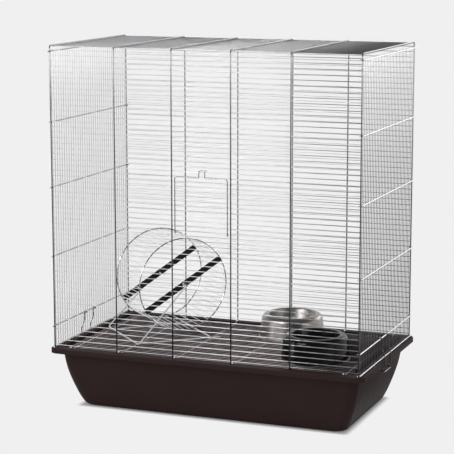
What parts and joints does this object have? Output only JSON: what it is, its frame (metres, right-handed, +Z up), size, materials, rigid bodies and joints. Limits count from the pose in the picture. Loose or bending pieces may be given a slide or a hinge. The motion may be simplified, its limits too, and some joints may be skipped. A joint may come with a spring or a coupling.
{
  "type": "pet cage",
  "caption": "Tall wire rodent cage on a deep plastic tray, with a front door, side clips, a floor grille, a running wheel on a wire stand and steel bowls.",
  "frame": {"origin": "on the ground under the middle of the tray", "axes": "+Z up, +X along the cage to the right seen from the front, the door side towards -Y"},
  "size_m": [0.708, 0.398, 0.7819],
  "materials": {
    "tray_plastic": "satin",
    "zinc_wire": "bright zinc plate",
    "bright_wire": "bright plate",
    "black_strap": "satin",
    "bush_steel": "turned",
    "polished_steel": "polished",
    "black_enamel": "gloss"
  },
  "bodies": {
    "cage": {"base_tray": "tray_plastic", "hoop_wire_1": "zinc_wire", "hoop_wire_2": "zinc_wire", "hoop_wire_3": "zinc_wire", "hoop_wire_4": "zinc_wire", "hoop_wire_5": "zinc_wire", "hoop_wire_6": "zinc_wire", "front_bars": "zinc_wire", "back_bars": "zinc_wire", "roof_bars": "zinc_wire", "left_side_bars": "zinc_wire", "right_side_bars": "zinc_wire", "left_rail_1": "zinc_wire", "left_rail_2": "zinc_wire", "left_rail_3": "zinc_wire", "left_rail_4": "zinc_wire", "left_rail_5": "zinc_wire", "left_rail_6": "zinc_wire", "right_rail_1": "zinc_wire", "right_rail_2": "zinc_wire", "right_rail_3": "zinc_wire", "right_rail_4": "zinc_wire", "right_rail_5": "zinc_wire", "right_rail_6": "zinc_wire", "grille_cross_wire_1": "zinc_wire", "grille_cross_wire_2": "zinc_wire", "grille_cross_wire_3": "zinc_wire", "grille_cross_wire_4": "zinc_wire", "grille_cross_wire_5": "zinc_wire", "grille_cross_wire_6": "zinc_wire", "grille_bars": "zinc_wire"},
    "door": {"door_frame": "zinc_wire", "door_bars": "zinc_wire"},
    "left_clip": {"left_clip": "zinc_wire"},
    "right_clip": {"right_clip": "zinc_wire"},
    "wheel_stand": {"stand_yoke": "bright_wire", "stand_front_rail": "bright_wire", "stand_rear_rail": "bright_wire", "stand_cross_wire": "bright_wire"},
    "wheel": {"wheel_front_ring": "bright_wire", "wheel_rear_ring": "bright_wire", "wheel_rungs": "bright_wire", "wheel_front_strap": "black_strap", "wheel_rear_strap": "black_strap", "wheel_front_bush": "bush_steel", "wheel_rear_bush": "bush_steel"},
    "rear_bowl": {"rear_bowl": "polished_steel"},
    "front_bowl": {"front_bowl": "black_enamel"}
  },
  "joints": [
    {"name": "door_hinge", "type": "hinge", "parent": "cage", "child": "door", "pos_m": [0, -0.18605, 0.40418], "axis": [1, 0, 0], "range_deg": [0, 150]},
    {"name": "left_clip_hinge", "type": "hinge", "parent": "cage", "child": "left_clip", "pos_m": [-0.34285, -0.01095, 0.1805], "axis": [0, 1, 0], "range_deg": [0, 140]},
    {"name": "right_clip_hinge", "type": "hinge", "parent": "cage", "child": "right_clip", "pos_m": [0.34285, -0.0219, 0.1805], "axis": [0, -1, 0], "range_deg": [0, 140]},
    {"name": "wheel_stand_lift", "type": "slide", "parent": "cage", "child": "wheel_stand", "axis": [0, 0, 1], "range_m": [0, 0.1]},
    {"name": "wheel_spin", "type": "hinge", "parent": "wheel_stand", "child": "wheel", "pos_m": [-0.1678, 0.0438, 0.2532], "axis": [0.7133, -0.7009, 0], "continuous": true},
    {"name": "rear_bowl_lift", "type": "slide", "parent": "cage", "child": "rear_bowl", "axis": [0, 0, 1], "range_m": [0, 0.1]},
    {"name": "front_bowl_lift", "type": "slide", "parent": "cage", "child": "front_bowl", "axis": [0, 0, 1], "range_m": [0, 0.1]}
  ]
}
